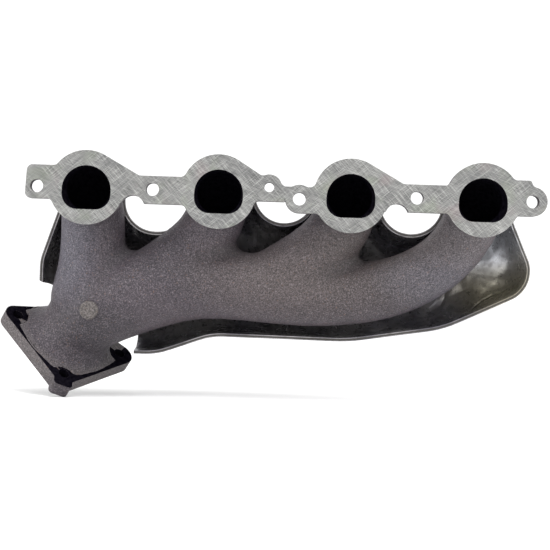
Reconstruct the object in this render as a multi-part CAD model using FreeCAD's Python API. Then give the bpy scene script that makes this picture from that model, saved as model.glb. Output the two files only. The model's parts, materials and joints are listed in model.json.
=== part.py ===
"""Cast-iron exhaust manifold for one bank of a V8 engine, with its sheet heat shields.

Units are millimetres. The flat face that bolts to the cylinder head lies in the plane y = 0
and looks along -Y. X runs along the row of ports, Z is up and +Y is away from the engine.
The origin is on the head face, midway between the two middle ports.
"""
import FreeCAD, Part
import math
import os

os.makedirs("parts", exist_ok=True)
Vector = FreeCAD.Vector

# Head flange.
PORT_PITCH = 111.76
PORT_COUNT = 4
PORT_WIDTH = 41.3
PORT_HEIGHT = 37.1
PORT_CORNER_RADIUS = 13.0
FLANGE_THICKNESS = 10.0
RING_RADIUS = 31.5
WEB_TOP = 11.4
WEB_BOTTOM = -12.2
FLANK_SLOPE = 29.0
NOTCH_RADIUS = 10.0
NOTCH_FROM_PORT = 39.4
NOTCH_CENTRE_Z = -15.5
HEAD_BOLT_RADIUS = 5.5
END_BOLT_X = 209.5
WEB_BOLT_X = PORT_PITCH
INNER_BOLT_X = 12.4
INNER_BOLT_Z = -4.0
INNER_BOSS_RADIUS = 12.0
DOWEL_X = -13.3
DOWEL_Z = 5.1
DOWEL_RADIUS = 4.15
DOWEL_BOSS_RADIUS = 10.8
MIDDLE_WEB_TOP = 6.2
LEFT_EAR_END = -219.5
LEFT_EAR_TOP = 18.0
LEFT_EAR_BOTTOM = -10.5
RIGHT_EAR_RADIUS = 12.4
RIGHT_STEP_END = 208.5
RIGHT_STEP_TOP = 17.8
RIGHT_NECK_TOP = 11.0
RIGHT_STEP_CORNER = 2.5
LEFT_EAR_LEAN = 1.5
MIDDLE_FLANK_SLOPE = 32.0
EDGE_BLEND = 5.0
PORT_CUT_DEPTH = 14.0
OVERRUN = 1.0
PROBE_STEPS = 8
PROBE_REACH = 0.6
NEAR = 0.5

# Gas passages. Each entry is (x, y, z, passage radius) of a pole that the centre line follows.
WALL = 6.0
PORT_THROAT = 18.5
SECTIONS_PER_POLE = 2
RUNNER_1 = (
    (0.0, 0.0, 0.0, PORT_THROAT),
    (0.0, 14.0, 0.0, PORT_THROAT),
    (0.0, 31.0, -1.0, 19.5),
    (0.5, 44.0, -14.0, 21.0),
    (1.0, 49.5, -33.0, 22.0),
    (1.0, 50.0, -57.0, 22.0),
    (-1.0, 51.0, -80.0, 24.0),
    (-8.0, 57.0, -98.0, 23.0),
    (-16.0, 64.0, -118.0, 17.0),
)
RUNNER_2 = (
    (0.0, 0.0, 0.0, PORT_THROAT),
    (0.0, 14.0, 0.0, PORT_THROAT),
    (0.0, 30.0, -1.5, 19.5),
    (-2.0, 42.0, -14.0, 19.8),
    (-9.0, 47.5, -33.0, 20.0),
    (-27.0, 49.0, -53.0, 20.2),
    (-56.0, 49.0, -72.0, 20.0),
    (-86.0, 50.0, -86.0, 15.0),
)
RUNNER_3 = (
    (0.0, 0.0, 0.0, PORT_THROAT),
    (0.0, 14.0, 0.0, PORT_THROAT),
    (0.0, 30.0, -1.0, 19.8),
    (-2.0, 41.5, -14.0, 20.4),
    (-10.0, 47.0, -33.0, 20.8),
    (-31.0, 48.5, -53.0, 20.8),
    (-62.0, 49.0, -71.0, 20.0),
    (-94.0, 50.0, -82.0, 15.0),
)
LOG = (
    (167.64, 0.0, 0.0, PORT_THROAT),
    (167.64, 14.0, 0.0, PORT_THROAT),
    (167.0, 30.0, -1.5, 18.5),
    (165.0, 41.0, -15.0, 18.4),
    (156.0, 46.0, -35.0, 18.0),
    (135.0, 48.0, -58.0, 18.2),
    (100.0, 50.0, -77.0, 19.6),
    (60.0, 50.0, -84.0, 21.2),
    (15.0, 50.0, -85.0, 22.6),
    (-35.0, 50.0, -79.0, 24.0),
    (-80.0, 50.0, -76.0, 26.5),
    (-122.0, 49.0, -86.0, 30.0),
    (-155.0, 50.0, -98.0, 30.0),
)

# Outlet to the down pipe. Its face looks down, to the rear and outboard. The bolts are given
# in the face's own plane, from the centre of the bore.
OUTLET_CENTRE = Vector(-195.4, 79.2, -139.9)
OUTLET_SIDE_TILT = 32.2
OUTLET_OUTBOARD_TILT = 30.0
OUTLET_ROLL = 22.3
OUTLET_THICKNESS = 12.0
OUTLET_BORE_RADIUS = 29.0
OUTLET_THROAT = 24.0
OUTLET_DISC_RADIUS = 38.5
OUTLET_LEFT_BOLT = 48.0
OUTLET_RIGHT_BOLT = 51.0
OUTLET_SIDE_BOLT_RISE = 6.0
OUTLET_LOW_BOLT = 48.8
OUTLET_BOLT_RADIUS = 5.0
OUTLET_EAR_RADIUS = 11.5
OUTLET_RIGHT_EAR_RADIUS = 12.5
OUTLET_TOE_WIDTH = 17.0
OUTLET_TOE_REACH = 65.0
OUTLET_TOE_CORNER = 4.0
OUTLET_NECK_RISE = 26.0
OUTLET_FOOT = ((42.5, 12.0), (34.0, 19.0), (29.0, 34.0))
SPOTFACE_SIDE_RADIUS = 10.5
SPOTFACE_LOW_RADIUS = 7.5
SPOTFACE_REACH = 30.0

# Round cast pad on the collector, on the side toward the engine.
PAD_X = -164.0
PAD_Z = -104.0
PAD_RADIUS = 8.0
PAD_FACE = 12.5
PAD_ROOT = 40.0

# Heat shields: two steel skins with an insulating mat between them. The profile pairs give
# how far the outline is drawn in at each distance below the outer face. Each scallop is its
# lowest height, how much its sides lean inward and the radius of its corners.
SKIN = 0.8
MAT = 1.4
SHIELD_INNER_FACE = 91.0
SHIELD_RIM = 52.0
SHIELD_PROFILE = ((0.0, 42.6), (2.0, 20.0), (7.5, 8.0), (19.0, 0.0))
SCALLOP_HALF_WIDTH = 28.0
SCALLOPS = ((-34.0, 0.0, 27.0), (-23.0, 5.0, 25.4), (-29.0, 2.0, 26.8))
LOBE_RADIUS = 24.0
SHIELD_LOWER_RIM = (
    (197.5, 34.0, 24.0),
    (199.5, -10.0, 60.0),
    (218.5, -54.0, 25.0),
    (217.0, -77.0, 28.0),
    (143.0, -112.0, 100.0),
    (60.0, -125.5, 150.0),
    (-60.0, -124.5, 60.0),
    (-108.0, -142.0, 60.0),
    (-213.0, -142.0, 30.0),
    (-213.0, -62.0, 40.0),
    (-196.5, -12.0, 40.0),
)
LOBE_TOP = 21.0
MAIN_SHIELD_TOP_LEFT = -144.0
MAIN_SHIELD_LEFT = -128.0
SHIELD_GAP = 3.0
SPLIT_KNEE_TOP = -60.0
SPLIT_KNEE_BOTTOM = -92.0
REAR_SHIELD_BOTTOM = -89.0
REAR_SHIELD_CORNER_X = -196.0
REAR_SHIELD_CORNER_Z = -56.0
BLANK_SIDE = 260.0
BLANK_DEPTH = 130.0

# Shield fasteners.
MAIN_BOLTS = ((148.0, -46.0), (68.0, -82.0), (-8.0, -82.0), (-88.0, -80.0))
REAR_BOLTS = ((-167.6, -32.0), (-168.5, -66.0))
BOSS_RADIUS = 9.0
BOSS_ROOT = 60.0
BOLT_RADIUS = 4.0
TAPPED_RADIUS = 4.05
TAPPED_DEPTH = 11.0
BOLT_LENGTH = 16.0
EYELET_BORE = 4.3
EYELET_SLEEVE = 5.4
EYELET_LIP_RADIUS = 8.0
EYELET_LIP = 0.6
SHIELD_HOLE = 5.5
WASHER_RADIUS = 11.0
WASHER_THICKNESS = 1.6
HEX_ACROSS_FLATS = 10.0
HEX_HEIGHT = 6.5
HEX_CHAMFER = 0.5
BOLT_FLANGE_RADIUS = 8.6
BOLT_FLANGE_HEIGHT = 1.4

LAMINATE = 2 * SKIN + MAT
BOSS_FACE = SHIELD_INNER_FACE - EYELET_LIP
WASHER_SEAT = SHIELD_INNER_FACE + LAMINATE + EYELET_LIP
BOLT_SEAT = WASHER_SEAT + WASHER_THICKNESS
OUTBOARD = Vector(0, 1, 0)


def port_x(index):
    """Centre of a port, counted from the left, 0 to 3."""
    return (index - (PORT_COUNT - 1) / 2) * PORT_PITCH


def at(x, z, y=0.0):
    """Point given by its place on the head face and its distance outboard."""
    return Vector(x, y, z)


def bar(x, z, radius, start, end):
    """Round bar along +Y from y = start to y = end."""
    return Part.makeCylinder(radius, end - start, at(x, z, start), OUTBOARD)


def block(x0, x1, z0, z1, start, end):
    """Rectangular block between two depths."""
    return Part.makeBox(x1 - x0, end - start, z1 - z0, at(x0, z0, start))


def plate(points, start, end):
    """Flat plate with a polygon outline of (x, z) points."""
    corners = [at(x, z, start) for x, z in points]
    wire = Part.makePolygon(corners + corners[:1])
    return Part.Face(wire).extrude(OUTBOARD * (end - start))


def round_corners(solid, radius, picks):
    """Round the edges along Y that pass through the given (x, z) points."""
    edges = []
    for edge in solid.Edges:
        first = edge.Vertexes[0].Point
        last = edge.Vertexes[-1].Point
        if abs(first.y - last.y) < FLANGE_THICKNESS / 2:
            continue
        for x, z in picks:
            if math.hypot(first.x - x, first.z - z) < NEAR:
                edges.append(edge)
    return solid.makeFillet(radius, edges)


def flank(centre, side):
    """Straight tangent from the top of a port ring down onto the web beside it."""
    slope = math.radians(FLANK_SLOPE)
    touch = (centre + side * RING_RADIUS * math.sin(slope), RING_RADIUS * math.cos(slope))
    foot = (centre + side * RING_RADIUS / math.sin(slope), 0.0)
    return plate(((centre, 0.0), touch, foot), 0, FLANGE_THICKNESS)


def left_ear():
    """Squarish ear round the bolt hole at the left end."""
    right = port_x(0)
    top_left = LEFT_EAR_END + LEFT_EAR_LEAN
    ear = plate(
        (
            (LEFT_EAR_END, LEFT_EAR_BOTTOM),
            (right, LEFT_EAR_BOTTOM),
            (right, LEFT_EAR_TOP),
            (top_left, LEFT_EAR_TOP),
        ),
        0,
        FLANGE_THICKNESS,
    )
    corners = ((LEFT_EAR_END, LEFT_EAR_BOTTOM), (top_left, LEFT_EAR_TOP))
    return round_corners(ear, EDGE_BLEND, corners)


def right_ear():
    """Round lug at the right end, with a flat step above it next to the port ring."""
    inner = port_x(3)
    lug = bar(END_BOLT_X, 0, RIGHT_EAR_RADIUS, 0, FLANGE_THICKNESS)
    neck = block(inner, END_BOLT_X, -RIGHT_EAR_RADIUS, RIGHT_NECK_TOP, 0, FLANGE_THICKNESS)
    step = block(inner, RIGHT_STEP_END, 0, RIGHT_STEP_TOP, 0, FLANGE_THICKNESS)
    step = round_corners(step, RIGHT_STEP_CORNER, ((RIGHT_STEP_END, RIGHT_STEP_TOP),))
    return lug.fuse([neck, step])


def head_flange():
    """Connected flange for four ports, without its holes."""
    depth = FLANGE_THICKNESS
    rings = [bar(port_x(i), 0, RING_RADIUS, 0, depth) for i in range(PORT_COUNT)]
    webs = []
    for i in (0, 2):
        web = block(port_x(i), port_x(i + 1), WEB_BOTTOM, WEB_TOP, 0, depth)
        notch = bar(port_x(i) + NOTCH_FROM_PORT, NOTCH_CENTRE_Z, NOTCH_RADIUS, 0, depth)
        webs.append(web.cut(notch))
    webs.append(bar(DOWEL_X, DOWEL_Z, DOWEL_BOSS_RADIUS, 0, depth))
    webs.append(bar(INNER_BOLT_X, INNER_BOLT_Z, INNER_BOSS_RADIUS, 0, depth))
    webs.append(block(port_x(1), 0, DOWEL_Z - INNER_BOSS_RADIUS, MIDDLE_WEB_TOP, 0, depth))
    low = INNER_BOLT_Z - INNER_BOSS_RADIUS
    webs.append(block(INNER_BOLT_X, port_x(2), low, MIDDLE_WEB_TOP, 0, depth))
    webs.append(block(DOWEL_X, INNER_BOLT_X, INNER_BOLT_Z, MIDDLE_WEB_TOP, 0, depth))
    flanks = [flank(port_x(i), 1) for i in (0, 2)]
    flanks.append(middle_flank())
    pieces = rings[1:] + webs + flanks + [left_ear(), right_ear()]
    return rings[0].fuse(pieces).removeSplitter()


def middle_flank():
    """Tangent from the second ring down to the small boss beside it."""
    slope = math.radians(MIDDLE_FLANK_SLOPE)
    centre = port_x(1)
    touch = (centre + RING_RADIUS * math.sin(slope), RING_RADIUS * math.cos(slope))
    foot = (centre + (RING_RADIUS - DOWEL_Z * math.cos(slope)) / math.sin(slope), DOWEL_Z)
    return plate(((centre, 0.0), touch, foot, (DOWEL_X, 0.0)), 0, FLANGE_THICKNESS)


def blend_inner_corners(solid, radius):
    """Round the inward corners of the flange outline, one at a time."""
    done = []
    while True:
        target = None
        for edge in solid.Edges:
            first = edge.Vertexes[0].Point
            last = edge.Vertexes[-1].Point
            straight = math.hypot(first.x - last.x, first.z - last.z) < 1e-4
            if not straight or abs(first.y - last.y) < FLANGE_THICKNESS - 0.01:
                continue
            spot = (round(first.x, 1), round(first.z, 1))
            if spot in done or not is_inward(solid, first.x, first.z):
                continue
            target = edge
            done.append(spot)
            break
        if target is None:
            return solid
        try:
            rounded = solid.makeFillet(radius, [target])
            if rounded.isValid() and rounded.Volume > solid.Volume:
                solid = rounded
        except Part.OCCError:
            continue


def is_inward(solid, x, z):
    """True where more than half of a small circle round the point is metal, but not all of it."""
    middle = FLANGE_THICKNESS / 2
    inside = 0
    for i in range(PROBE_STEPS):
        turn = 2 * math.pi * i / PROBE_STEPS
        across = PROBE_REACH * math.cos(turn)
        up = PROBE_REACH * math.sin(turn)
        spot = at(x + across, z + up, middle)
        if solid.isInside(spot, 1e-6, True):
            inside += 1
    return PROBE_STEPS / 2 < inside < PROBE_STEPS


def port_hole(index):
    """Port opening: round above, flattened below."""
    x = port_x(index)
    half = PORT_WIDTH / 2
    top = PORT_HEIGHT / 2
    shoulder = top - half
    flat = half - PORT_CORNER_RADIUS
    drop = PORT_CORNER_RADIUS * math.sqrt(0.5)
    low = -top + PORT_CORNER_RADIUS
    right_mid = at(x + flat + drop, low - drop)
    left_mid = at(x - flat - drop, low - drop)
    edges = [
        Part.Arc(at(x + half, shoulder), at(x, top), at(x - half, shoulder)).toShape(),
        Part.makeLine(at(x - half, shoulder), at(x - half, low)),
        Part.Arc(at(x - half, low), left_mid, at(x - flat, -top)).toShape(),
        Part.makeLine(at(x - flat, -top), at(x + flat, -top)),
        Part.Arc(at(x + flat, -top), right_mid, at(x + half, low)).toShape(),
        Part.makeLine(at(x + half, low), at(x + half, shoulder)),
    ]
    return Part.Face(Part.Wire(edges)).extrude(OUTBOARD * PORT_CUT_DEPTH)


def head_bolt_holes():
    """Six holes through the head flange."""
    places = [(s * END_BOLT_X, 0, HEAD_BOLT_RADIUS) for s in (-1, 1)]
    places += [(s * WEB_BOLT_X, 0, HEAD_BOLT_RADIUS) for s in (-1, 1)]
    places.append((INNER_BOLT_X, INNER_BOLT_Z, HEAD_BOLT_RADIUS))
    places.append((DOWEL_X, DOWEL_Z, DOWEL_RADIUS))
    return [bar(x, z, r, -OVERRUN, FLANGE_THICKNESS + OVERRUN) for x, z, r in places]


def tube(poles, extra, shift=0.0):
    """Smooth solid along a centre line drawn from its poles, thicker all round by extra."""
    line = Part.BSplineCurve()
    line.buildFromPoles([Vector(x + shift, y, z) for x, y, z, _ in poles])
    radii = Part.BSplineCurve()
    radii.buildFromPoles([Vector(radius, 0, 0) for _, _, _, radius in poles])
    count = SECTIONS_PER_POLE * len(poles)
    wires = []
    side = Vector(1, 0, 0)
    for i in range(count + 1):
        where = i / count
        along = line.tangent(where)[0]
        side = side - along * side.dot(along)
        side.normalize()
        wire = Part.Wire(Part.makeCircle(radii.value(where).x + extra))
        turn = FreeCAD.Rotation(side, Vector(), along, "ZXY")
        wire.Placement = FreeCAD.Placement(line.value(where), turn)
        wires.append(wire)
    return Part.makeLoft(wires, True, False)


def outlet_place():
    """Local frame of the outlet: +Z points up into the manifold, X runs along the rear ears."""
    side = math.radians(OUTLET_SIDE_TILT)
    out = math.radians(OUTLET_OUTBOARD_TILT)
    along = Vector(math.cos(side), 0, -math.sin(side))
    inward = Vector(
        math.sin(side) * math.cos(out), -math.sin(out), math.cos(side) * math.cos(out)
    )
    turn = FreeCAD.Rotation(along, Vector(), inward, "ZXY")
    roll = FreeCAD.Rotation(Vector(0, 0, 1), OUTLET_ROLL)
    return FreeCAD.Placement(OUTLET_CENTRE, turn.multiply(roll))


def outlet_ears():
    """Centres of the three outlet bolts in the outlet's own frame: left, right and low."""
    left = Vector(-OUTLET_LEFT_BOLT, OUTLET_SIDE_BOLT_RISE, 0)
    right = Vector(OUTLET_RIGHT_BOLT, OUTLET_SIDE_BOLT_RISE, 0)
    return [left, right, Vector(0, -OUTLET_LOW_BOLT, 0)]


def belt(circles):
    """Face inside a belt stretched clockwise round (centre, radius) circles."""
    points = []
    for i, (centre, radius) in enumerate(circles):
        following, next_radius = circles[(i + 1) % len(circles)]
        way = following - centre
        lean = math.degrees(math.acos((radius - next_radius) / way.Length))
        way.normalize()
        out = FreeCAD.Rotation(Vector(0, 0, 1), lean).multVec(way)
        points.append(centre + out * radius)
        points.append(following + out * next_radius)
    return Part.Face(Part.makePolygon(points + points[:1]))


def outlet_plate(height):
    """Outline of the outlet flange raised to a height, in the outlet's own frame."""
    left, right, low = outlet_ears()
    ear = OUTLET_EAR_RADIUS
    circles = (
        (left, ear),
        (Vector(), OUTLET_DISC_RADIUS),
        (right, OUTLET_RIGHT_EAR_RADIUS),
        (low, ear),
    )
    body = belt(circles).extrude(Vector(0, 0, height))
    for centre, radius in circles:
        body = body.fuse(Part.makeCylinder(radius, height, centre))
    corner = Vector(-OUTLET_TOE_WIDTH / 2, -OUTLET_TOE_REACH, 0)
    toe = Part.makeBox(OUTLET_TOE_WIDTH, OUTLET_TOE_REACH, height, corner)
    tips = [e for e in toe.Edges if all(v.Y < NEAR - OUTLET_TOE_REACH for v in e.Vertexes)]
    upright = [e for e in tips if abs(e.Vertexes[0].Z - e.Vertexes[-1].Z) > NEAR]
    toe = toe.makeFillet(OUTLET_TOE_CORNER, upright)
    return body.fuse(toe).removeSplitter()


def outlet_foot():
    """Flare that spreads the neck onto the outlet flange, kept inside the flange's outline."""
    (wide, low), (bend, middle), (narrow, high) = OUTLET_FOOT
    start = Vector(wide, 0, low)
    end = Vector(narrow, 0, high)
    arc = Part.Arc(start, Vector(bend, 0, middle), end).toShape()
    sides = Part.makePolygon([end, Vector(0, 0, high), Vector(), Vector(wide, 0, 0), start])
    profile = Part.Face(Part.Wire([arc] + sides.Edges))
    return profile.revolve(Vector(), Vector(0, 0, 1), 360).common(outlet_plate(high + OVERRUN))


def outlet_flange():
    """Outlet flange with an ear for each bolt, a squared toe and the flare of the neck."""
    body = outlet_plate(OUTLET_THICKNESS).fuse(outlet_foot())
    body.Placement = outlet_place()
    return body


def log(extra):
    """Runner of the last port, the log under the ports and the outlet neck, in one sweep."""
    place = outlet_place()
    neck = []
    for rise in (OUTLET_NECK_RISE, 0.0):
        pole = place.multVec(Vector(0, 0, rise))
        neck.append((pole.x, pole.y, pole.z, OUTLET_THROAT))
    return tube(LOG + tuple(neck), extra)


def outlet_holes():
    """Bore, bolt holes and spot faces of the outlet."""
    below = Vector(0, 0, -OVERRUN)
    cuts = [Part.makeCylinder(OUTLET_BORE_RADIUS, OUTLET_THICKNESS + OVERRUN, below)]
    through = OUTLET_THICKNESS + 2 * OVERRUN
    spotfaces = (SPOTFACE_SIDE_RADIUS, SPOTFACE_SIDE_RADIUS, SPOTFACE_LOW_RADIUS)
    for ear, radius in zip(outlet_ears(), spotfaces):
        seat = ear + Vector(0, 0, OUTLET_THICKNESS)
        cuts.append(Part.makeCylinder(OUTLET_BOLT_RADIUS, through, ear + below))
        cuts.append(Part.makeCylinder(radius, SPOTFACE_REACH, seat))
    for cut in cuts:
        cut.Placement = outlet_place()
    return cuts


def runners(extra):
    """The runners of the first three ports, which join the log from above."""
    chains = (RUNNER_1, RUNNER_2, RUNNER_3)
    return [tube(chain, extra, port_x(i)) for i, chain in enumerate(chains)]


def shield_bosses():
    """Round bosses on the outboard side for the shield bolts."""
    spots = MAIN_BOLTS + REAR_BOLTS
    return [bar(x, z, BOSS_RADIUS, BOSS_ROOT, BOSS_FACE) for x, z in spots]


def casting():
    """The whole iron casting as one solid."""
    body = log(WALL)
    for runner in runners(WALL):
        body = body.fuse(runner)
    body = body.fuse(outlet_flange())
    body = body.fuse(shield_bosses())
    body = body.fuse(bar(PAD_X, PAD_Z, PAD_RADIUS, PAD_FACE, PAD_ROOT))
    body = body.fuse(blend_inner_corners(head_flange(), EDGE_BLEND))
    cuts = [log(0)] + runners(0)
    cuts += [port_hole(i) for i in range(PORT_COUNT)] + head_bolt_holes() + outlet_holes()
    for x, z in MAIN_BOLTS + REAR_BOLTS:
        cuts.append(bar(x, z, TAPPED_RADIUS, BOSS_FACE - TAPPED_DEPTH, BOSS_FACE + OVERRUN))
    for cut in cuts:
        body = body.cut(cut)
    return body


def shield_corners():
    """Corners (x, z, radius) of the outline of both shields together, clockwise from the left."""
    edge = PORT_PITCH / 2 - SCALLOP_HALF_WIDTH
    corners = []
    for i in range(PORT_COUNT):
        if i:
            low, lean, radius = SCALLOPS[i - 1]
            corners.append((port_x(i - 1) + edge + lean, low, radius))
            corners.append((port_x(i) - edge - lean, low, radius))
        corners.append((port_x(i) - edge, LOBE_TOP, LOBE_RADIUS))
        corners.append((port_x(i) + edge, LOBE_TOP, LOBE_RADIUS))
    return corners[:-1] + list(SHIELD_LOWER_RIM)


def shield_outline(inset, y):
    """Closed outline at depth y, moved inward by inset: straight sides with rounded corners."""
    corners = shield_corners()
    count = len(corners)
    ways = []
    for i in range(count):
        x0, z0, _ = corners[i]
        x1, z1, _ = corners[(i + 1) % count]
        ways.append(at(x1 - x0, z1 - z0).normalize())
    arcs = []
    for i in range(count):
        before = ways[i - 1]
        after = ways[i]
        turn = before.x * after.z - before.z * after.x
        bend = math.asin(turn)
        if before.dot(after) < 0:
            bend = math.copysign(math.pi, bend) - bend
        x, z, radius = corners[i]
        radius = radius + math.copysign(inset, bend)
        inward = at(before.z, -before.x) + at(after.z, -after.x)
        point = at(x, z, y) + inward * (inset / (1 + before.dot(after)))
        reach = radius * math.tan(abs(bend) / 2)
        start = point - before * reach
        end = point + after * reach
        middle = inward * -math.copysign(1, bend)
        middle.normalize()
        middle = point + middle * (radius / math.cos(bend / 2) - radius)
        arcs.append((start, middle, end))
    edges = []
    for i in range(count):
        start, middle, end = arcs[i]
        edges.append(Part.Arc(start, middle, end).toShape())
        edges.append(Part.makeLine(end, arcs[(i + 1) % count][0]))
    return Part.Wire(edges)


def dish(inset):
    """Solid filling of the shields' dish, smaller all round by inset but open at the rim."""
    sections = []
    for draw_in, rise in SHIELD_PROFILE:
        y = SHIELD_INNER_FACE + LAMINATE - rise
        if rise < SHIELD_PROFILE[0][1]:
            y = y - inset
        elif inset:
            y = y - OVERRUN
        sections.append(shield_outline(draw_in + inset, y))
    return Part.makeLoft(sections, True, True)


def shield_layer(outer, inner, holes):
    """One layer of the laminate between two insets, cut to the two shields."""
    layer = dish(outer).cut(dish(inner))
    layer = layer.cut([bar(x, z, SHIELD_HOLE, SHIELD_RIM, BOLT_SEAT) for x, z in holes])
    return layer


def main_cut():
    """Block that holds the main shield, right of the slanted split."""
    side = BLANK_SIDE
    points = (
        (MAIN_SHIELD_TOP_LEFT, side),
        (MAIN_SHIELD_TOP_LEFT, SPLIT_KNEE_TOP),
        (MAIN_SHIELD_LEFT, SPLIT_KNEE_BOTTOM),
        (MAIN_SHIELD_LEFT, -side),
        (side, -side),
        (side, side),
    )
    return plate(points, 0, BLANK_DEPTH)


def rear_cut():
    """Block that holds the rear shield, left of the split, with its lower outer corner off."""
    side = BLANK_SIDE
    top_right = MAIN_SHIELD_TOP_LEFT - SHIELD_GAP
    low_right = MAIN_SHIELD_LEFT - SHIELD_GAP
    points = (
        (top_right, side),
        (top_right, SPLIT_KNEE_TOP),
        (low_right, SPLIT_KNEE_BOTTOM),
        (low_right, -side),
        (-side, -side),
        (-side, side),
    )
    corner = (
        (-side, REAR_SHIELD_CORNER_Z),
        (REAR_SHIELD_CORNER_X, REAR_SHIELD_BOTTOM),
        (side, REAR_SHIELD_BOTTOM),
        (side, -side),
        (-side, -side),
    )
    left = plate(points, 0, BLANK_DEPTH)
    return left.cut(plate(corner, -OVERRUN, BLANK_DEPTH + OVERRUN))


def eyelet(x, z):
    """Flanged ring that lines a bolt hole and clamps the laminate."""
    inner = SHIELD_INNER_FACE
    outer = inner + LAMINATE
    body = bar(x, z, EYELET_SLEEVE, inner - EYELET_LIP, outer + EYELET_LIP)
    lips = [bar(x, z, EYELET_LIP_RADIUS, inner - EYELET_LIP, inner)]
    lips.append(bar(x, z, EYELET_LIP_RADIUS, outer, outer + EYELET_LIP))
    run = EYELET_LIP + OVERRUN
    bore = bar(x, z, EYELET_BORE, inner - run, outer + run)
    return body.fuse(lips).cut(bore)


def washer(x, z):
    """Plain washer under a shield bolt."""
    ring = bar(x, z, WASHER_RADIUS, WASHER_SEAT, BOLT_SEAT)
    return ring.cut(bar(x, z, EYELET_BORE, WASHER_SEAT - OVERRUN, BOLT_SEAT + OVERRUN))


def shield_bolt(x, z):
    """Hexagon-headed flange bolt."""
    corner = HEX_ACROSS_FLATS / math.sqrt(3)
    points = []
    for i in range(6):
        turn = math.radians(60 * i)
        points.append((x + corner * math.cos(turn), z + corner * math.sin(turn)))
    head = plate(points, BOLT_SEAT, BOLT_SEAT + HEX_HEIGHT)
    crown = Part.makeCone(
        corner + HEX_HEIGHT,
        corner - HEX_CHAMFER,
        HEX_HEIGHT,
        at(x, z, BOLT_SEAT),
        OUTBOARD,
    )
    flange = bar(x, z, BOLT_FLANGE_RADIUS, BOLT_SEAT, BOLT_SEAT + BOLT_FLANGE_HEIGHT)
    shank = bar(x, z, BOLT_RADIUS, BOLT_SEAT - BOLT_LENGTH, BOLT_SEAT)
    return head.common(crown).fuse([flange, shank])


def save(name, shape):
    """Write one named piece as a single solid."""
    solid = shape.Solids[0] if len(shape.Solids) == 1 else shape
    solid.exportStep("parts/" + name + ".step")


save("manifold_casting", casting())
LAYERS = (
    ("outer_skin", 0, SKIN),
    ("insulation", SKIN, SKIN + MAT),
    ("inner_skin", SKIN + MAT, LAMINATE),
)
for layer_name, top, bottom in LAYERS:
    both = shield_layer(top, bottom, MAIN_BOLTS + REAR_BOLTS)
    save("main_shield_" + layer_name, both.common(main_cut()))
    save("rear_shield_" + layer_name, both.common(rear_cut()))
for group, spots in (("main", MAIN_BOLTS), ("rear", REAR_BOLTS)):
    for number, (x, z) in enumerate(spots, 1):
        tag = "_" + group + "_" + str(number)
        save("shield_bolt" + tag, shield_bolt(x, z))
        save("washer" + tag, washer(x, z))
        save("eyelet" + tag, eyelet(x, z))
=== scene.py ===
"""Looks of the exhaust manifold: blended casting, finishes, light and camera."""

import json
import math

import bmesh
import bpy
import numpy as np
import openvdb
from mathutils import Matrix, Vector


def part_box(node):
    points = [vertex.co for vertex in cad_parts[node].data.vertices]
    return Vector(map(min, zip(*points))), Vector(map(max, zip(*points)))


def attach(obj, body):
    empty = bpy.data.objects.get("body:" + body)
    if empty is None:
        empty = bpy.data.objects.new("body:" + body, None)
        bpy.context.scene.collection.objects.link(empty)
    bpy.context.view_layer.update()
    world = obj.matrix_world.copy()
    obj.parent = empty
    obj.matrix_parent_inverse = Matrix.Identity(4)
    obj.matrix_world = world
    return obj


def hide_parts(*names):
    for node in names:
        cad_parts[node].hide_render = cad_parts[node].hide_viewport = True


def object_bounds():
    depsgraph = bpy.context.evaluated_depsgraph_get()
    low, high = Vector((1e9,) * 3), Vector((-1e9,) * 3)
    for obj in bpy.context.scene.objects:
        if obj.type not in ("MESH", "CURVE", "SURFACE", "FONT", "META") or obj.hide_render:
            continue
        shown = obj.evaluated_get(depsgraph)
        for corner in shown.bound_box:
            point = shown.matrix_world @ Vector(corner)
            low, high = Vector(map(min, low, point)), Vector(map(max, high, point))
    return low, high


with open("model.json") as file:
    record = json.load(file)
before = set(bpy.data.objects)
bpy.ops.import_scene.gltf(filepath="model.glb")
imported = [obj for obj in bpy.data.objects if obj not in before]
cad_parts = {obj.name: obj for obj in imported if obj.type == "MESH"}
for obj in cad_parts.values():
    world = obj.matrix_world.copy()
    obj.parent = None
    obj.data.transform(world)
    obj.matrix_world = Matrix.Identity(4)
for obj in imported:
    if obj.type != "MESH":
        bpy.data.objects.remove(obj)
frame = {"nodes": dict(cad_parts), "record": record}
nodes = frame["nodes"]
cad_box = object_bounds()

MM = 0.001

# The two flange plates: real thickness, and where the sharp-edged plate is sliced off.
FLANGE_BACK = 10.0 * MM
FLANGE_SLICE = 10.6 * MM
OUTLET_THICKNESS = 12.0 * MM
OUTLET_SLICE = 12.6 * MM
PORT_REACH = 24.0 * MM
OUTLET_BORE_REACH = 31.0 * MM
STUD_HOLE = 6.0 * MM
HEAD_PLATE_BEVEL = 0.7 * MM
OUTLET_PLATE_BEVEL = 0.8 * MM
BEVEL_ANGLE = math.radians(40)
WELD_DISTANCE = 0.002 * MM
FLAT_ANGLE = math.radians(0.5)
PLANE_TOLERANCE = 0.05 * MM
FACING = 0.99

# Distance grid of the casting, in cells unless a length is given.
VOXEL = 1.45 * MM
SURFACE_CELLS = 3.0
MARGIN_CELLS = 6
SKIN_BAND = 4.5 * VOXEL

# Cast blends in the inward corners.
BLEND_SIGMAS = (4.0 * MM, 7.0 * MM)
BLEND_GAIN = 0.25 * MM
BLUR_REACH = 3
# Blur width of the hollow measure that paints shade into inward corners.
HOLLOW_SHADE_SIGMA = 12.0 * MM
PASSAGE_CELLS = 2
NO_BLEND = 1.0

# Thin slabs that close the ports and the outlet while the passages are found.
HEAD_SEAL = (3.0 * MM, 7.0 * MM)
OUTLET_SEAL_DEPTH = 6.0 * MM
OUTLET_SEAL_HALF = 2.0 * MM
OUTLET_SEAL_RADIUS = 48.0 * MM

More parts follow.
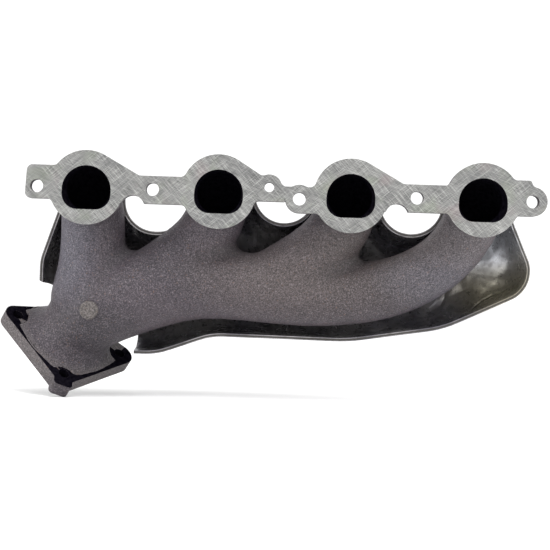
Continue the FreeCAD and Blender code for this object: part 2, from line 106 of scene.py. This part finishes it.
# Inside the plates the blends fade out and the blended body shrinks out of sight.
FADE_START = 2.0 * MM
FADE_LENGTH = 3.0 * MM
FADE_LIFT = 0.05
HIDDEN_RAMP = 0.6 * MM
HIDDEN_SHRINK = 0.8 * MM

# Clear space around bolts, spot faces and the cast pad, where nothing is blended.
HEAD_BOLT_ROOM = 8.0 * MM
SPOTFACE_ROOM = 11.0 * MM
LONG_REACH = 50.0 * MM
SHORT_REACH = 18.0 * MM
PAD_AT = Vector((-164.0, 12.5, -104.0)) * MM
PAD_ROOM = 8.6 * MM

# Uneven cast surface.
WAVE_SIZE = 6.0 * MM
WAVE_HEIGHT = 0.5 * MM

# Shields: folds shallower than this are shaded smooth.
SMOOTH_ANGLE = math.radians(42)
SHIELD_WELD = 0.01 * MM

# Studio: (name, place, size, power) of each lamp, and the camera.
LAMPS = (
    ("top", (0.1, -0.5, 1.1), 0.8, 14),
    ("left", (-1.1, -0.5, 0.2), 0.6, 7),
    ("right", (1.1, -0.3, 0.3), 0.6, 7),
)
WORLD_STRENGTH = 1.15
FLOOR_SIZE = 12.0
SENSOR_WIDTH = 36.0
LENS = 93.115
CLIP_START = 0.05
ROLL = math.radians(1.88)
CAMERA_AT = Vector((-0.00604, -1.2, -0.06881))

# Zones laid over a finish, tints and painted light and shade among them: (centre, half widths,
# strength, display colour).
CAST_TINTS_AND_PAINTED_LIGHT = (
    # Brownish band along the log: brown tint and painted light on its lit middle.
    ((0.02, 0.02, -0.07), (0.12, 0.09, 0.045), 0.5, (80, 71, 64)),
    # Lighter brown over the runners' tops: painted light from above.
    ((0.1, 0.03, -0.035), (0.1, 0.06, 0.03), 0.5, (78, 70, 64)),
    # Bluish pale band on the left runner: painted light of a lamp from the left.
    ((-0.185, 0.03, -0.05), (0.03, 0.06, 0.06), 0.6, (82, 82, 94)),
    # Paler bluish grey low at the right end: painted light.
    ((0.135, 0.03, -0.07), (0.06, 0.06, 0.03), 0.6, (80, 79, 86)),
    # Paler grey high at the right end: painted light.
    ((0.155, 0.03, -0.03), (0.05, 0.06, 0.035), 0.6, (94, 89, 92)),
    # Near-black patch at the neck's foot: painted shade.
    ((-0.165, 0.05, -0.118), (0.05, 0.06, 0.03), 0.6, (34, 32, 38)),
)
SHIELD_TINTS_AND_PAINTED_SHEEN = (
    # Pale warm patch at the right end: painted highlight with a gold heat tint.
    ((0.205, 0.08, -0.04), (0.05, 0.08, 0.09), 0.85, (176, 170, 158)),
    # Bluish white patch high at the right end: painted sheen with a blue heat tint.
    ((0.19, 0.08, -0.03), (0.035, 0.08, 0.05), 0.8, (170, 174, 184)),
    ((0.2, 0.08, -0.08), (0.06, 0.08, 0.03), 0.7, (128, 122, 96)),
)
PAD_ZONE = (0.0095, 0.006, 0.0095)
OUTLET_ZONE = (0.075, 0.07, 0.06)
OUTLET_ZONE_DEPTH = 0.004
OUTLET_TINT_FROM = 0.016
OUTLET_TINT_FULL = 0.011
CRUMPLED_ZONES = (
    ((0.165, 0.07, -0.095), (0.07, 0.09, 0.035)),
    ((0.05, 0.07, -0.03), (0.12, 0.09, 0.03)),
)


def mount(name):
    """The record's mount of that name."""
    return next(m for m in frame["record"]["mounts"] if m["name"] == name)


def outlet_plane():
    """Centre and outward direction of the outlet face."""
    face = mount("outlet_face")
    out = Vector(face["axis"]).normalized()
    centre = Vector(mount("outlet_bore")["pos_m"])
    rise = (Vector(face["pos_m"]) - centre).dot(out)
    return centre + out * rise, out


OUTLET_POINT, OUTLET_OUT = outlet_plane()


def bolt_lines():
    """Centre, axis, clear radius and reach of each bolt's own space in the casting."""
    head_axis = Vector((0, 1, 0))
    lines = []
    for name in ("head_bolts_end", "head_bolts_mid", "head_bolt_inner", "head_bolt_locating"):
        entry = mount(name)
        centre = Vector(entry["pos_m"])
        step = Vector((entry["dims"]["spacing_x_mm"] * MM / 2, 0, 0))
        lines.append((centre - step, head_axis, HEAD_BOLT_ROOM, LONG_REACH))
        lines.append((centre + step, head_axis, HEAD_BOLT_ROOM, LONG_REACH))
    for node in nodes:
        if node.startswith("shield_bolt_"):
            a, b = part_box(node)
            lines.append(((a + b) / 2, head_axis, HEAD_BOLT_ROOM, SHORT_REACH))
    side = mount("outlet_bolts_side")
    low = mount("outlet_bolt_low")
    side_at = Vector(side["pos_m"])
    low_at = Vector(low["pos_m"])
    along = (side_at - low_at).normalized() * (side["dims"]["pcd_mm"] * MM / 2)
    down = (OUTLET_POINT - low_at).normalized() * (low["dims"]["pcd_mm"] * MM / 2)
    lines.append((side_at - along, OUTLET_OUT, SPOTFACE_ROOM, LONG_REACH))
    lines.append((side_at + along, OUTLET_OUT, SPOTFACE_ROOM, LONG_REACH))
    lines.append((low_at + down, OUTLET_OUT, HEAD_BOLT_ROOM, LONG_REACH))
    lines.append((PAD_AT, head_axis, PAD_ROOM, SHORT_REACH))
    return lines


BOLT_LINES = bolt_lines()


# ---------------------------------------------------------------- casting

def level_set(obj):
    """Signed distance of a closed CAD mesh on a regular grid, with the grid's low corner."""
    mesh = obj.data
    mesh.calc_loop_triangles()
    points = np.empty(len(mesh.vertices) * 3, np.float32)
    mesh.vertices.foreach_get("co", points)
    corners = np.empty(len(mesh.loop_triangles) * 3, np.int32)
    mesh.loop_triangles.foreach_get("vertices", corners)
    points = points.reshape(-1, 3)
    move = openvdb.createLinearTransform(voxelSize=VOXEL)
    grid = openvdb.FloatGrid.createLevelSetFromPolygons(
        points,
        triangles=corners.reshape(-1, 3).astype(np.uint32),
        transform=move,
        halfWidth=SURFACE_CELLS,
    )
    low = np.floor(points.min(0) / VOXEL).astype(int) - MARGIN_CELLS
    high = np.ceil(points.max(0) / VOXEL).astype(int) + MARGIN_CELLS
    field = np.zeros(tuple(high - low), np.float32)
    grid.copyToArray(field, ijk=tuple(int(v) for v in low))
    return field, low, move


def grid_axes(field, low):
    """Coordinates of the grid points along each axis, ready to broadcast."""
    axes = []
    for k in range(3):
        line = (low[k] + np.arange(field.shape[k])) * VOXEL
        shape = [1, 1, 1]
        shape[k] = -1
        axes.append(line.reshape(shape).astype(np.float32))
    return axes


def outlet_distance(axes):
    """Distance beyond the outlet face, outward, and distance from the outlet's own axis."""
    x, y, z = (axes[k] - OUTLET_POINT[k] for k in range(3))
    along = x * OUTLET_OUT[0] + y * OUTLET_OUT[1] + z * OUTLET_OUT[2]
    around = np.sqrt(np.maximum(x * x + y * y + z * z - along * along, 0))
    return along, around


def reached(free):
    """Free cells that can be reached from the faces of the grid."""
    seen = np.zeros_like(free)
    for k in range(3):
        edge = np.moveaxis(seen, k, 0)
        open_edge = np.moveaxis(free, k, 0)
        edge[0] = open_edge[0]
        edge[-1] = open_edge[-1]
    before = -1
    count = int(seen.sum())
    while count != before:
        before = count
        for k in range(3):
            mark = np.moveaxis(seen, k, 0)
            room = np.moveaxis(free, k, 0)
            for i in range(1, mark.shape[0]):
                mark[i] |= mark[i - 1] & room[i]
            for i in range(mark.shape[0] - 2, -1, -1):
                mark[i] |= mark[i + 1] & room[i]
        count = int(seen.sum())
    return seen


def blurred(field, sigma):
    """Gaussian blur along all three axes, sigma in cells."""
    reach = int(math.ceil(BLUR_REACH * sigma))
    offsets = np.arange(-reach, reach + 1)
    weights = np.exp(-0.5 * (offsets / sigma) ** 2)
    weights = (weights / weights.sum()).astype(np.float32)
    for k in range(3):
        padded = np.pad(field, [(reach, reach) if j == k else (0, 0) for j in range(3)])
        out = np.zeros_like(field)
        for offset, weight in zip(offsets, weights):
            start = reach + offset
            cut = [slice(None)] * 3
            cut[k] = slice(start, start + field.shape[k])
            out += weight * padded[tuple(cut)]
        field = out
    return field


def grown(mask, steps):
    """Mask widened by a number of cells along each axis."""
    for _ in range(steps):
        wide = mask.copy()
        for k in range(3):
            a = np.moveaxis(wide, k, 0)
            b = np.moveaxis(mask, k, 0)
            a[1:] |= b[:-1]
            a[:-1] |= b[1:]
        mask = wide
    return mask


def sampled(field, places):
    """Field values at fractional cell positions, linear between the cells."""
    top = np.array(field.shape) - 2
    base = np.clip(np.floor(places).astype(int), 0, top)
    part = np.clip(places - base, 0, 1)
    total = np.zeros(len(places))
    for corner in np.ndindex(2, 2, 2):
        share = np.ones(len(places))
        for k in range(3):
            share *= part[:, k] if corner[k] else 1 - part[:, k]
        at = base + np.array(corner)
        total += share * field[at[:, 0], at[:, 1], at[:, 2]]
    return total


def blended_casting(source):
    """The casting's skin with soft cast blends in every inward corner."""
    field, low, move = level_set(source)
    axes = grid_axes(field, low)
    y = axes[1]
    along, around = outlet_distance(axes)
    head_seal = (y > HEAD_SEAL[0]) & (y < HEAD_SEAL[1])
    outlet_seal = np.abs(along + OUTLET_SEAL_DEPTH) < OUTLET_SEAL_HALF
    seal = head_seal | (outlet_seal & (around < OUTLET_SEAL_RADIUS))
    inner = (field > 0) & ~reached((field > 0) & ~seal) & ~seal
    solid = np.clip(0.5 - field / (2 * VOXEL), 0, 1)
    solid[inner] = 1
    fill = None
    for sigma in BLEND_SIGMAS:
        soft = blurred(solid, sigma / VOXEL)
        one = (0.5 - soft) * (sigma * math.sqrt(2 * math.pi)) - BLEND_GAIN
        fill = one if fill is None else np.minimum(fill, one)
    into_head = FLANGE_BACK - y
    into_outlet = along + OUTLET_THICKNESS
    into_plate = np.maximum(into_head, into_outlet)
    deep = np.clip((into_plate - FADE_START) / FADE_LENGTH, 0, 1)
    holes = np.ones(field.shape, bool)
    for centre, axis, radius, length in BOLT_LINES:
        x, y_, z = (axes[k] - centre[k] for k in range(3))
        run = x * axis[0] + y_ * axis[1] + z * axis[2]
        off = np.sqrt(np.maximum(x * x + y_ * y_ + z * z - run * run, 0))
        holes &= (off > radius) | (np.abs(run) > length)
    near_passage = grown(inner, PASSAGE_CELLS)
    fill = np.where(near_passage | ~holes, NO_BLEND, fill) + deep * FADE_LIFT
    hidden = np.clip((into_plate + HIDDEN_RAMP) / HIDDEN_RAMP, 0, 1)
    skin = np.minimum(field + hidden * HIDDEN_SHRINK, fill)
    grid = openvdb.FloatGrid(SKIN_BAND)
    grid.transform = move
    skin = np.clip(skin, -SKIN_BAND, SKIN_BAND).astype(np.float32)
    grid.copyFromArray(skin, ijk=tuple(int(v) for v in low))
    points, quads = grid.convertToQuads(isovalue=0.0)
    cells = np.round(points / VOXEL).astype(int) - low
    cells = np.clip(cells, 0, np.array(field.shape) - 1)
    # Passage walls take the black finish: soot deposit and painted shade of the deep passages.
    soot_and_shade_cells = grown(inner | ((field > 0) & seal), PASSAGE_CELLS)
    black = soot_and_shade_cells[cells[:, 0], cells[:, 1], cells[:, 2]]
    mesh = bpy.data.meshes.new("casting_body")
    mesh.from_pydata(points.tolist(), [], quads[:, ::-1].tolist())
    mesh.update()
    mesh.polygons.foreach_set("use_smooth", [True] * len(mesh.polygons))
    mesh.materials.append(CAST)
    mesh.materials.append(SOOT_AND_SHADE)
    mesh.polygons.foreach_set("material_index", black[quads].all(1).astype(np.int32))
    # Painted shade: a wide blur of the solid, higher in inward corners, kept at each point for the
    # cast finish to darken.
    wide = blurred(solid, HOLLOW_SHADE_SIGMA / VOXEL)
    hollow_shade = mesh.attributes.new("hollow_shade", "FLOAT", "POINT")
    hollow_shade.data.foreach_set("value", sampled(wide, points / VOXEL - low).astype(np.float32))
    body = bpy.data.objects.new("casting_body", mesh)
    bpy.context.scene.collection.objects.link(body)
    return body


def sliced(source, name, point, away):
    """The part of a CAD mesh on the near side of a plane, closed along the slice."""
    bm = bmesh.new()
    bm.from_mesh(source.data)
    bmesh.ops.remove_doubles(bm, verts=bm.verts, dist=WELD_DISTANCE)
    geometry = bm.verts[:] + bm.edges[:] + bm.faces[:]
    cut = bmesh.ops.bisect_plane(
        bm, geom=geometry, plane_co=point, plane_no=away, clear_outer=True
    )
    rim = [g for g in cut["geom_cut"] if isinstance(g, bmesh.types.BMEdge)]
    bmesh.ops.triangle_fill(bm, edges=rim, use_beauty=True, normal=away)
    bmesh.ops.recalc_face_normals(bm, faces=bm.faces)
    bmesh.ops.dissolve_limit(bm, angle_limit=FLAT_ANGLE, verts=bm.verts, edges=bm.edges)
    mesh = bpy.data.meshes.new(name)
    bm.to_mesh(mesh)
    bm.free()
    piece = bpy.data.objects.new(name, mesh)
    bpy.context.scene.collection.objects.link(piece)
    return piece


# ---------------------------------------------------------------- finishes

def srgb(r, g, b):
    """Linear colour from 0-255 display values."""
    out = []
    for v in (r, g, b):
        v = v / 255
        out.append(v / 12.92 if v <= 0.04045 else ((v + 0.055) / 1.055) ** 2.4)
    return (*out, 1.0)


class Finish:
    """Small helper that builds a node material."""

    def __init__(self, name):
        self.material = bpy.data.materials.new(name)
        self.material.use_nodes = True
        self.tree = self.material.node_tree
        self.shader = self.tree.nodes["Principled BSDF"]
        self.place = self.tree.nodes.new("ShaderNodeTexCoord").outputs["Object"]

    def node(self, kind, **values):
        """New node with the given settings."""
        made = self.tree.nodes.new(kind)
        for key, value in values.items():
            setattr(made, key, value)
        return made

    def link(self, source, target):
        """Wire from an output to an input."""
        self.tree.links.new(source, target)

    def noise(self, scale, detail=3.0, rough=0.55, stretch=None, turn=None):
        """Noise in object space, stretched along turned axes if asked."""
        made = self.node("ShaderNodeTexNoise")
        made.inputs["Scale"].default_value = scale
        made.inputs["Detail"].default_value = detail
        made.inputs["Roughness"].default_value = rough
        where = self.place
        if stretch or turn:
            move = self.node("ShaderNodeMapping", vector_type="TEXTURE")
            if turn:
                move.inputs["Rotation"].default_value = turn
            if stretch:
                move.inputs["Scale"].default_value = stretch
            self.link(where, move.inputs["Vector"])
            where = move.outputs["Vector"]
        self.link(where, made.inputs["Vector"])
        return made.outputs["Fac"]

    def span(self, value, low, high, to_low=0.0, to_high=1.0):
        """Value mapped from one range to another, held at the ends."""
        made = self.node("ShaderNodeMapRange")
        made.inputs["From Min"].default_value = low
        made.inputs["From Max"].default_value = high
        made.inputs["To Min"].default_value = to_low
        made.inputs["To Max"].default_value = to_high
        self.link(value, made.inputs["Value"])
        return made.outputs["Result"]

    def times(self, a, b, operation="MULTIPLY"):
        """Two values combined, multiplied unless another operation is named."""
        made = self.node("ShaderNodeMath", operation=operation)
        for source, socket in ((a, made.inputs[0]), (b, made.inputs[1])):
            if isinstance(source, (int, float)):
                socket.default_value = source
            else:
                self.link(source, socket)
        return made.outputs[0]

    def mix(self, factor, a, b):
        """Colour between a and b."""
        made = self.node("ShaderNodeMix", data_type="RGBA")
        if isinstance(factor, (int, float)):
            made.inputs[0].default_value = factor
        else:
            self.link(factor, made.inputs[0])
        for source, socket in ((a, made.inputs[6]), (b, made.inputs[7])):
            if isinstance(source, tuple):
                socket.default_value = source
            else:
                self.link(source, socket)
        return made.outputs[2]

    def axis(self, name):
        """One object-space coordinate."""
        made = self.node("ShaderNodeSeparateXYZ")
        self.link(self.place, made.inputs[0])
        return made.outputs[name]

    def hump(self, centre, widths):
        """Soft round patch: 1 at the centre, 0 past the widths."""
        total = None
        for name, middle, width in zip("XYZ", centre, widths):
            away = self.times(self.times(self.axis(name), middle, "SUBTRACT"), 1 / width)
            square = self.times(away, away)
            total = square if total is None else self.times(total, square, "ADD")
        return self.span(total, 1.0, 0.0)

    def tints_and_painted_light(self, base, zones):
        """Base colour with soft zones laid over it in order: tints, painted light and painted
        shade.
        """
        for centre, widths, strength, colour in zones:
            base = self.mix(self.times(self.hump(centre, widths), strength), base, srgb(*colour))
        return base

    def bump(self, height, strength, distance, after=None):
        """Shading normal from a height."""
        made = self.node("ShaderNodeBump")
        made.inputs["Strength"].default_value = strength
        made.inputs["Distance"].default_value = distance
        self.link(height, made.inputs["Height"])
        if after is not None:
            self.link(after, made.inputs["Normal"])
        return made.outputs["Normal"]

    def set(self, color=None, rough=None, metal=None, normal=None):
        """Wires the shader and returns the material."""
        if color is not None:
            self.link(color, self.shader.inputs["Base Color"])
        if isinstance(rough, (int, float)):
            self.shader.inputs["Roughness"].default_value = rough
        elif rough is not None:
            self.link(rough, self.shader.inputs["Roughness"])
        if metal is not None:
            self.shader.inputs["Metallic"].default_value = metal
        if normal is not None:
            self.link(normal, self.shader.inputs["Normal"])
        return self.material


def cast_iron():
    """Dark sand-cast skin with fine grain, brown and grey zones that are partly painted light and
    shade, and painted shade in the inward corners.
    """
    f = Finish("cast_iron")
    grain = f.noise(940.0, 4.0, 0.75)
    coarse = f.noise(300.0, 4.0, 0.6)
    cloud = f.noise(16.0, 3.0, 0.5)
    base = f.mix(f.span(cloud, 0.35, 0.65), srgb(44, 38, 46), srgb(62, 54, 61))
    # Tints with painted light on the log, runners and right end, and painted shade at the neck.
    base = f.tints_and_painted_light(base, CAST_TINTS_AND_PAINTED_LIGHT)
    pad = f.times(f.hump(PAD_AT, PAD_ZONE), 3.0)
    base = f.mix(f.span(pad, 0.2, 0.6, 0.0, 0.6), base, srgb(98, 92, 86))
    band = f.times(f.hump(OUTLET_POINT - OUTLET_OUT * OUTLET_ZONE_DEPTH, OUTLET_ZONE), 2.2)
    plate_side = f.node("ShaderNodeVectorMath", operation="DOT_PRODUCT")
    f.link(f.place, plate_side.inputs[0])
    plate_side.inputs[1].default_value = OUTLET_OUT
    face = OUTLET_POINT.dot(OUTLET_OUT)
    depth = plate_side.outputs["Value"]
    near_face = f.span(depth, face - OUTLET_TINT_FROM, face - OUTLET_TINT_FULL)
    base = f.mix(f.times(f.times(near_face, f.span(band, 0, 1)), 0.6), base, srgb(92, 86, 84))
    dark_grain = f.span(grain, 0.38, 0.54, 1.0, 0.0)
    base = f.mix(f.times(dark_grain, 0.85), base, srgb(13, 10, 13))
    pale_grain = f.span(grain, 0.53, 0.68)
    base = f.mix(f.times(pale_grain, 0.62), base, srgb(132, 124, 128))
    specks = f.span(f.noise(700.0, 2.0, 0.5), 0.66, 0.74)
    base = f.mix(f.times(specks, 0.5), base, srgb(120, 88, 62))
    # Painted shade: inward corners and crotches darkened by the stored hollow measure.
    hollow_shade = f.node("ShaderNodeAttribute", attribute_name="hollow_shade").outputs["Fac"]
    base = f.mix(f.span(hollow_shade, 0.48, 0.62, 0.0, 0.8), base, srgb(14, 13, 16))
    rough = f.span(coarse, 0.3, 0.7, 0.5, 0.72)
    normal = f.bump(grain, 0.5, 0.0006)
    normal = f.bump(coarse, 0.35, 0.0012, normal)
    f.shader.inputs["Specular IOR Level"].default_value = 0.45
    return f.set(base, rough, 0.0, normal)


def ground_face():
    """Pale ground sealing face with crossed grinding marks and faint stains."""
    f = Finish("ground_face")
    base = f.mix(f.span(f.noise(30.0, 4.0, 0.6), 0.35, 0.65), srgb(98, 98, 98), srgb(122, 122, 120))
    for turn, strength in ((0.85, 0.55), (-0.7, 0.45), (0.35, 0.3)):
        marks = f.noise(1500.0, 2.0, 0.5, (28.0, 1.0, 1.0), (0.0, turn, 0.0))
        base = f.mix(f.times(f.span(marks, 0.52, 0.66), strength), base, srgb(58, 59, 58))
        base = f.mix(f.times(f.span(marks, 0.46, 0.34), strength), base, srgb(168, 168, 165))
    pits = f.noise(900.0, 3.0, 0.6)
    base = f.mix(f.times(f.span(pits, 0.58, 0.7), 0.6), base, srgb(70, 69, 66))
    green = f.times(f.span(f.noise(45.0, 2.0, 0.5), 0.55, 0.75), 0.3)
    base = f.mix(green, base, srgb(112, 122, 100))
    red = f.times(f.span(f.noise(38.0, 2.0, 0.4), 0.6, 0.78), 0.25)
    base = f.mix(red, base, srgb(140, 118, 120))
    normal = f.bump(marks, 0.3, 0.0003)
    return f.set(base, 0.5, 0.25, normal)


def shield_steel():
    """Heat-tinted sheet steel: glossy, creased and mottled, with painted highlight and sheen at the
    right end.
    """
    f = Finish("shield_steel")
    cloud = f.noise(22.0, 4.0, 0.6)
    fine = f.noise(160.0, 4.0, 0.6)
    base = f.mix(f.span(cloud, 0.4, 0.62), srgb(98, 96, 102), srgb(146, 143, 144))
    # Heat-tint zones, two of them painted highlight and sheen as well.
    base = f.tints_and_painted_light(base, SHIELD_TINTS_AND_PAINTED_SHEEN)
    base = f.mix(f.times(f.span(fine, 0.54, 0.7), 0.4), base, srgb(60, 54, 48))
    creases = f.node("ShaderNodeTexVoronoi", feature="DISTANCE_TO_EDGE")
    creases.inputs["Scale"].default_value = 17.0
    creases.inputs["Randomness"].default_value = 0.9
    f.link(f.place, creases.inputs["Vector"])
    ridge = f.span(creases.outputs["Distance"], 0.0, 0.12)
    normal = f.bump(ridge, 0.5, 0.0016)
    normal = f.bump(f.noise(28.0, 2.0, 0.5), 0.7, 0.007, normal)
    folds = f.noise(30.0, 1.0, 0.4, (1.0, 1.0, 1.8))
    folds = f.times(f.times(folds, 0.5, "SUBTRACT"), 0.0, "ABSOLUTE")
    low_right, gaps = (f.hump(centre, widths) for centre, widths in CRUMPLED_ZONES)
    crumpled = f.times(low_right, gaps, "MAXIMUM")
    height = f.times(f.span(folds, 0.0, 0.06), crumpled)
    normal = f.bump(height, 0.5, 0.003, normal)
    normal = f.bump(fine, 0.15, 0.0008, normal)
    return f.set(base, f.span(fine, 0.3, 0.7, 0.2, 0.42), 0.7, normal)


def mat_fibre():
    """Pale fibre mat."""
    f = Finish("mat_fibre")
    strands = f.noise(600.0, 4.0, 0.7, (1.0, 1.0, 0.2))
    base = f.mix(f.span(strands, 0.35, 0.65), srgb(40, 38, 36), srgb(72, 69, 66))
    return f.set(base, 0.9, 0.0, f.bump(strands, 0.5, 0.0005))


def fastener_steel():
    """Dull plated fastener steel."""
    f = Finish("fastener_steel")
    cloud = f.noise(260.0, 4.0, 0.6)
    base = f.mix(f.span(cloud, 0.35, 0.65), srgb(104, 102, 96), srgb(150, 148, 140))
    return f.set(base, f.span(cloud, 0.3, 0.7, 0.3, 0.5), 0.9, f.bump(cloud, 0.15, 0.0003))


def soot_and_shade():
    """Black inside the gas passages and bores: soot deposit and painted shade."""
    f = Finish("soot_and_shade")
    cloud = f.noise(300.0, 3.0, 0.6)
    base = f.mix(f.span(cloud, 0.35, 0.65), srgb(5, 4, 9), srgb(20, 18, 24))
    f.shader.inputs["Specular IOR Level"].default_value = 0.0
    return f.set(base, 0.9, 0.0, f.bump(cloud, 0.4, 0.0006))


CAST = cast_iron()
SOOT_AND_SHADE = soot_and_shade()
GROUND = ground_face()
SHIELD = shield_steel()
FIBRE = mat_fibre()
FASTENER = fastener_steel()


def machined(piece, picks, bores):
    """Ground finish on the picked (point, direction) planes, black inside the bores: soot and
    painted shade.
    """
    for finish in (CAST, GROUND, SOOT_AND_SHADE):
        piece.data.materials.append(finish)
    for face in piece.data.polygons:
        for point, out in picks:
            level = abs((face.center - point).dot(out)) < PLANE_TOLERANCE
            if level and face.normal.dot(out) > FACING:
                face.material_index = 1
        for centre, axis, radius in bores:
            away = face.center - centre
            away = away - axis * away.dot(axis)
            if away.length < radius and face.material_index != 1:
                face.material_index = 2


def edge_bevel(piece, width):
    """Small rounding of sharp edges, left as cast."""
    bevel = piece.modifiers.new("edge", "BEVEL")
    bevel.width = width
    bevel.segments = 2
    bevel.limit_method = "ANGLE"
    bevel.angle_limit = BEVEL_ANGLE
    bevel.use_clamp_overlap = True
    bevel.material = 0


casting = nodes["manifold_casting"]
body = blended_casting(casting)
waves = bpy.data.textures.new("cast_waves", "CLOUDS")
waves.noise_scale = WAVE_SIZE
waves.noise_depth = 2
relief = body.modifiers.new("cast_waves", "DISPLACE")
relief.texture = waves
relief.texture_coords = "LOCAL"
relief.strength = WAVE_HEIGHT
relief.mid_level = 0.5
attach(body, "root")
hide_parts("manifold_casting")

head_plate = sliced(casting, "casting_head_plate", Vector((0, FLANGE_SLICE, 0)), Vector((0, 1, 0)))
port_bores = []
for opening in frame["record"]["physics"]["openings"]:
    if opening["name"].startswith("port_"):
        a, b = (Vector(corner) for corner in opening["box_m"])
        port_bores.append(((a + b) / 2, Vector((0, 1, 0)), PORT_REACH))
machined(head_plate, [(Vector(), Vector((0, -1, 0)))], port_bores)
edge_bevel(head_plate, HEAD_PLATE_BEVEL)
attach(head_plate, "root")

outlet_plate = sliced(
    casting, "casting_outlet_plate", OUTLET_POINT - OUTLET_OUT * OUTLET_SLICE, -OUTLET_OUT
)
outlet_bores = [(OUTLET_POINT, OUTLET_OUT, OUTLET_BORE_REACH)]
# Stud holes take the black finish as well: painted shade inside them.
outlet_bores += [(line[0], OUTLET_OUT, STUD_HOLE) for line in BOLT_LINES if line[1] == OUTLET_OUT]
machined(outlet_plate, [(OUTLET_POINT, OUTLET_OUT)], outlet_bores)
edge_bevel(outlet_plate, OUTLET_PLATE_BEVEL)
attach(outlet_plate, "root")


# ---------------------------------------------------------------- shields and fasteners

def soft_shading():
    """Modifier nodes: smooth shading across shallow folds, sharp at steep edges."""
    group = bpy.data.node_groups.new("soft_shading", "GeometryNodeTree")
    group.interface.new_socket("Geometry", in_out="INPUT", socket_type="NodeSocketGeometry")
    group.interface.new_socket("Geometry", in_out="OUTPUT", socket_type="NodeSocketGeometry")
    start = group.nodes.new("NodeGroupInput").outputs["Geometry"]
    plain = group.nodes.new("GeometryNodeRemoveAttribute")
    plain.inputs["Name"].default_value = "custom_normal"
    weld = group.nodes.new("GeometryNodeMergeByDistance")
    weld.inputs["Distance"].default_value = SHIELD_WELD
    angle = group.nodes.new("GeometryNodeInputMeshEdgeAngle")
    shallow = group.nodes.new("FunctionNodeCompare")
    shallow.operation = "LESS_THAN"
    shallow.inputs[1].default_value = SMOOTH_ANGLE
    folds = group.nodes.new("GeometryNodeSetShadeSmooth")
    folds.domain = "EDGE"
    faces = group.nodes.new("GeometryNodeSetShadeSmooth")
    end = group.nodes.new("NodeGroupOutput")
    group.links.new(start, plain.inputs["Geometry"])
    group.links.new(plain.outputs["Geometry"], weld.inputs["Geometry"])
    group.links.new(angle.outputs["Unsigned Angle"], shallow.inputs[0])
    group.links.new(weld.outputs["Geometry"], folds.inputs["Geometry"])
    group.links.new(shallow.outputs["Result"], folds.inputs["Shade Smooth"])
    group.links.new(folds.outputs["Geometry"], faces.inputs["Geometry"])
    group.links.new(faces.outputs["Geometry"], end.inputs["Geometry"])
    return group


SOFT = soft_shading()
for name, node in nodes.items():
    if name == "manifold_casting":
        continue
    if "skin" in name:
        node.modifiers.new("soft_shading", "NODES").node_group = SOFT
    if "insulation" in name:
        finish = FIBRE
    elif "skin" in name:
        finish = SHIELD
    else:
        finish = FASTENER
    node.data.materials.clear()
    node.data.materials.append(finish)


# ---------------------------------------------------------------- floor, light and camera

low, high = (Vector(c) for c in cad_box)
floor_mesh = bpy.data.meshes.new("floor")
half = FLOOR_SIZE / 2
floor_mesh.from_pydata(
    [(-half, -half, low.z), (half, -half, low.z), (half, half, low.z), (-half, half, low.z)],
    [],
    [(0, 1, 2, 3)],
)
floor = bpy.data.objects.new("floor", floor_mesh)
bpy.context.scene.collection.objects.link(floor)
paper = Finish("paper")
paper_tone = paper.mix(paper.noise(4.0), (0.88, 0.88, 0.88, 1), (0.9, 0.9, 0.9, 1))
floor_mesh.materials.append(paper.set(paper_tone, 0.9, 0.0))

world = bpy.data.worlds.new("studio")
world.use_nodes = True
world.node_tree.nodes["Background"].inputs["Color"].default_value = (1, 1, 1, 1)
world.node_tree.nodes["Background"].inputs["Strength"].default_value = WORLD_STRENGTH
bpy.context.scene.world = world


def area_light(name, place, target, size, power):
    """Soft square lamp that faces a point."""
    lamp = bpy.data.lights.new(name, "AREA")
    lamp.size = size
    lamp.energy = power
    holder = bpy.data.objects.new(name, lamp)
    holder.location = place
    way = Vector(target) - Vector(place)
    holder.rotation_euler = way.to_track_quat("-Z", "Y").to_euler()
    bpy.context.scene.collection.objects.link(holder)


middle = (low + high) / 2
for lamp_name, place, size, power in LAMPS:
    area_light(lamp_name, place, middle, size, power)

# The camera looks along +y, square on to the head flange, with a slight roll.
camera_data = bpy.data.cameras.new("camera")
camera_data.sensor_width = SENSOR_WIDTH
camera_data.lens = LENS
camera_data.clip_start = CLIP_START
camera = bpy.data.objects.new("camera", camera_data)
turn = Matrix(
    (
        (math.cos(ROLL), -math.sin(ROLL), 0, CAMERA_AT.x),
        (0, 0, -1, CAMERA_AT.y),
        (math.sin(ROLL), math.cos(ROLL), 0, CAMERA_AT.z),
        (0, 0, 0, 1),
    )
)
camera.matrix_world = turn
bpy.context.scene.collection.objects.link(camera)
bpy.context.scene.camera = camera
bpy.context.scene.view_settings.view_transform = "Standard"
